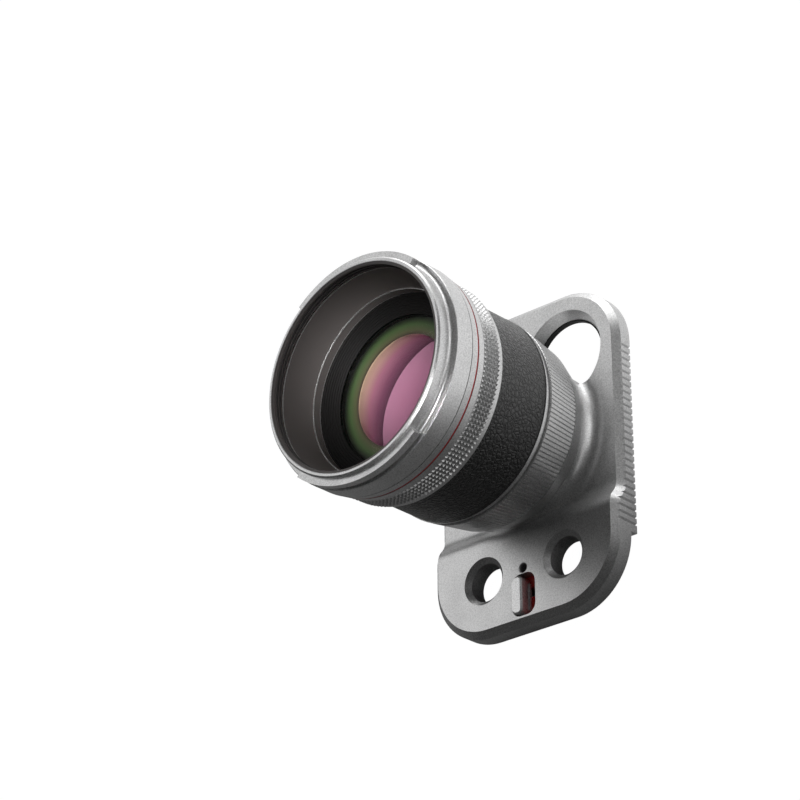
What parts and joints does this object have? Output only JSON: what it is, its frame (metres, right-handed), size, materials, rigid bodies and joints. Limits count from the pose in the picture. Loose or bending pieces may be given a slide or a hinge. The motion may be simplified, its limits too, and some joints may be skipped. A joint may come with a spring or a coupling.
{
  "type": "phone telephoto lens",
  "caption": "Telephoto converter lens for a phone: silver barrel with a knurled ring, red line and black leather, on an adapter plate with a lock slider.",
  "frame": {"origin": "where the optical axis meets the plane of the adapter plate's rear skirt edge", "axes": "+Z along the optical axis towards the scene, +Y towards the plate end with the large window"},
  "size_m": [0.048, 0.0709, 0.0567],
  "materials": {
    "satin_aluminium": "bead-blasted satin",
    "black_anodised": "matt",
    "red_anodised": "satin",
    "red_paint": "satin",
    "black_leather": "grained",
    "front_coated_glass": "coated",
    "middle_coated_glass": "coated",
    "rear_coated_glass": "coated",
    "black_pad": "matt",
    "steel": "ground"
  },
  "bodies": {
    "plate": {"adapter_plate": "satin_aluminium", "socket_ring": "steel", "lens_mount": "black_anodised", "fluted_ring": "satin_aluminium", "main_barrel": "black_anodised", "leather_sleeve": "black_leather", "knurled_ring": "satin_aluminium", "front_barrel": "satin_aluminium", "accent_ring": "red_anodised", "front_ring": "satin_aluminium", "retaining_ring": "black_anodised", "lens_cell": "black_anodised", "front_glass": "front_coated_glass", "middle_glass": "middle_coated_glass", "stop_ring": "black_anodised", "rear_crown": "rear_coated_glass", "rear_flint": "rear_coated_glass", "rear_retainer": "black_anodised", "back_pad": "black_pad", "red_plate": "red_paint", "leaf_spring": "steel", "slider_cover": "black_anodised", "cover_screws": "steel"},
    "slider": {"lock_slider": "satin_aluminium", "latch_plate": "steel", "latch_screw": "steel"}
  },
  "joints": [
    {"name": "lock_slide", "type": "slide", "parent": "plate", "child": "slider", "axis": [1, 0, 0], "range_m": [0, 0.0027]}
  ]
}
